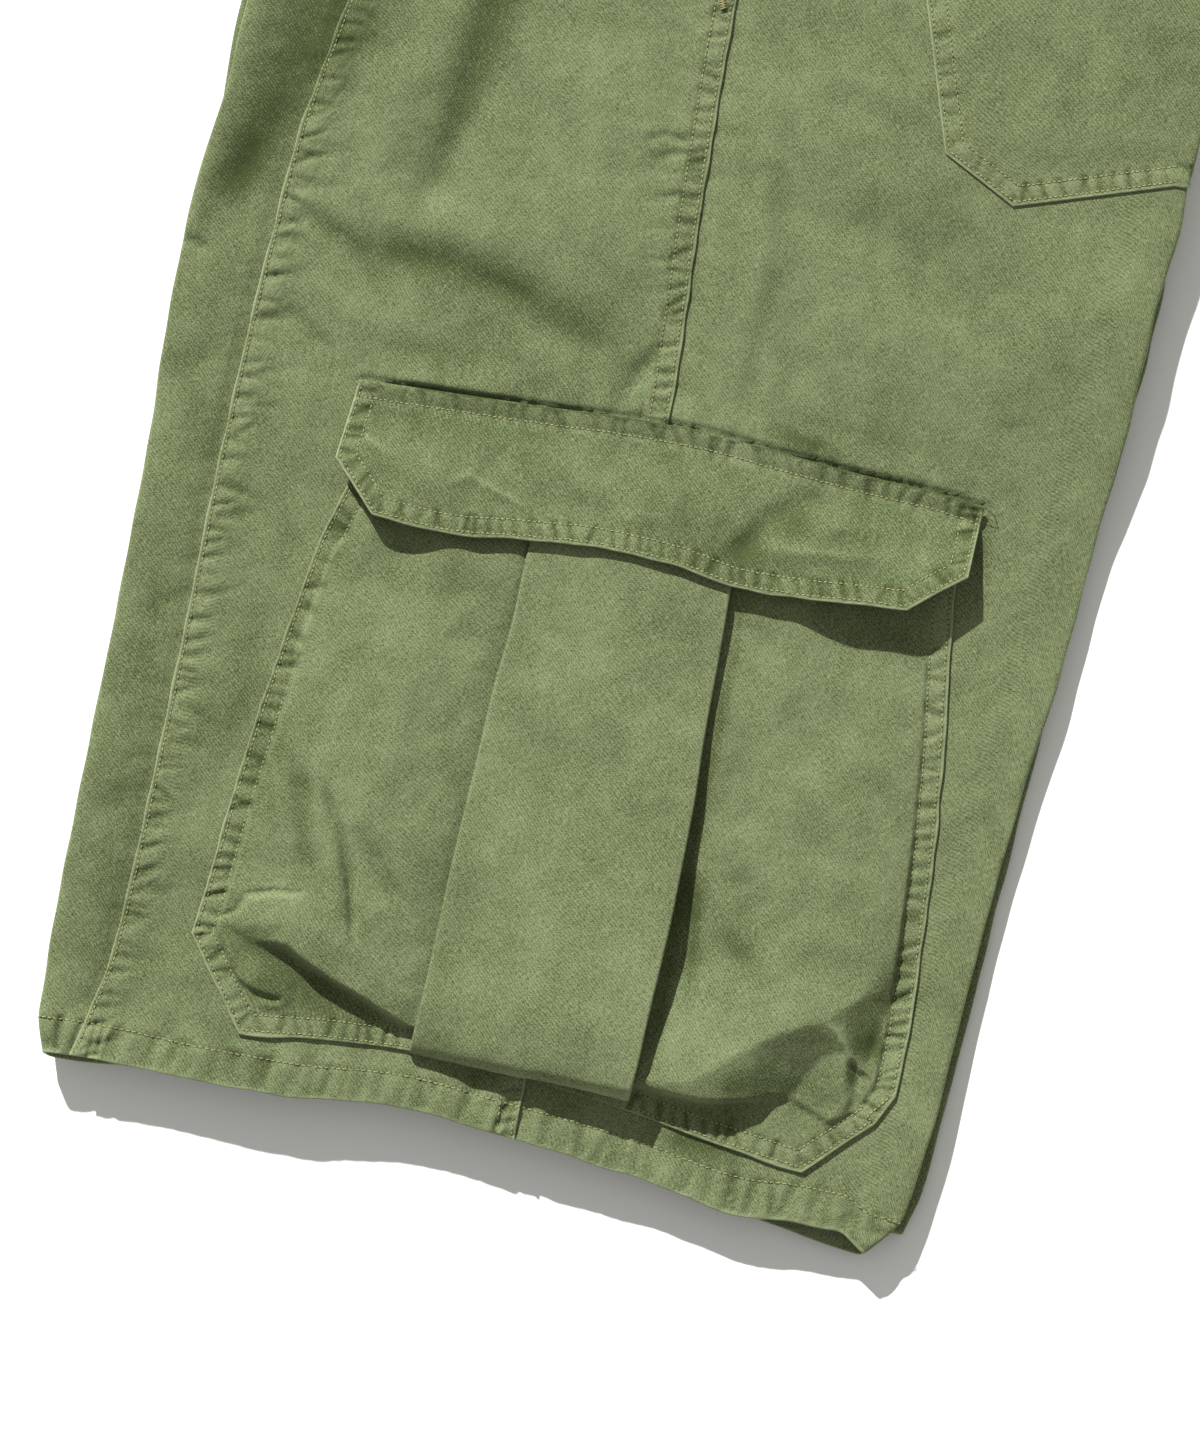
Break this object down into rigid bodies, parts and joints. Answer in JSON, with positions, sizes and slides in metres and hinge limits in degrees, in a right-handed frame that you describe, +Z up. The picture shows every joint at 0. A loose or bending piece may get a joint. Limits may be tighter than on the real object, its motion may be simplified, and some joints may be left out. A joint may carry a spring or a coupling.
{
  "type": "folded cargo shorts",
  "caption": "Washed cotton cargo shorts laid on their side, leg on leg, with a box-pleated cargo pocket, cut-corner flap, back patch pocket, waistband and belt loops.",
  "frame": {"origin": "centre of the bounding box, on the surface that the shorts lie on", "axes": "+X from the front crease to the back crease, +Y from the hems to the waist, +Z up from the surface"},
  "size_m": [0.353, 0.648, 0.0315],
  "materials": {
    "leg_twill": "washed sage green cotton twill, matt, paler on edges and creases",
    "pocket_twill": "the same twill, double stitched, puckered between the rows",
    "band_twill": "the same twill in several layers, topstitched"
  },
  "bodies": {
    "root": {"far_back": "leg_twill", "far_back_pocket": "pocket_twill", "far_belt_loop_back": "band_twill", "far_belt_loop_front": "band_twill", "far_belt_loop_side": "band_twill", "far_cargo_flap": "pocket_twill", "far_cargo_pocket": "pocket_twill", "far_front_inner": "leg_twill", "far_front_side": "leg_twill", "far_waistband": "band_twill", "near_back": "leg_twill", "near_back_pocket": "pocket_twill", "near_belt_loop_back": "band_twill", "near_belt_loop_front": "band_twill", "near_belt_loop_side": "band_twill", "near_cargo_flap": "pocket_twill", "near_cargo_pocket": "pocket_twill", "near_front_inner": "leg_twill", "near_front_side": "leg_twill", "near_waistband": "band_twill"}
  },
  "joints": []
}
